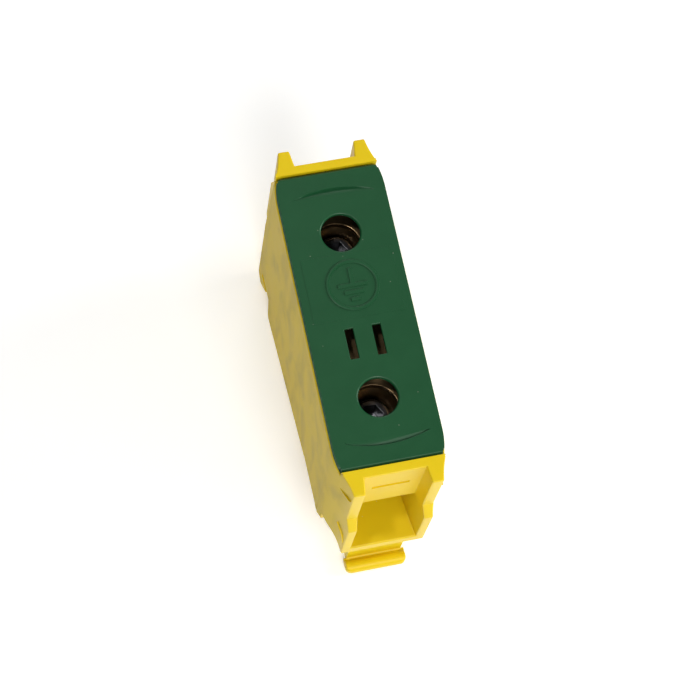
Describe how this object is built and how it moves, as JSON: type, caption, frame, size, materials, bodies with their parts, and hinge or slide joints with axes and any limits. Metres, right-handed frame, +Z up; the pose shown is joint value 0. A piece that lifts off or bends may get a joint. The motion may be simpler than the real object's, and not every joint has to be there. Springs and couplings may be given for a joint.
{
  "type": "earth terminal block",
  "caption": "Feed-through protective-earth terminal block for a 35 mm rail, with funnel wire entries, a green cover with screw access holes, and a claw and latch foot",
  "frame": {"origin": "on the ground under the middle of the whole block's length and width, release tab included", "axes": "+Z up, Y along the conductors with the fixed claw at +Y and the release tab at -Y, X across the block and along the rail"},
  "size_m": [0.0206, 0.0716, 0.0485],
  "materials": {
    "housing_yellow": "satin",
    "cover_green": "fine matte",
    "bar_brass": "machined",
    "screw_steel": "zinc plated"
  },
  "bodies": {
    "block": {"housing": "housing_yellow", "cover": "cover_green", "connector_bar": "bar_brass"},
    "screw_far": {"clamp_screw_far": "screw_steel"},
    "screw_near": {"clamp_screw_near": "screw_steel"}
  },
  "joints": [
    {"name": "clamp_far", "type": "slide", "parent": "block", "child": "screw_far", "axis": [0, 0, -1], "range_m": [-0.0081, 0.0068]},
    {"name": "clamp_near", "type": "slide", "parent": "block", "child": "screw_near", "axis": [0, 0, -1], "range_m": [-0.0096, 0.0053]}
  ]
}
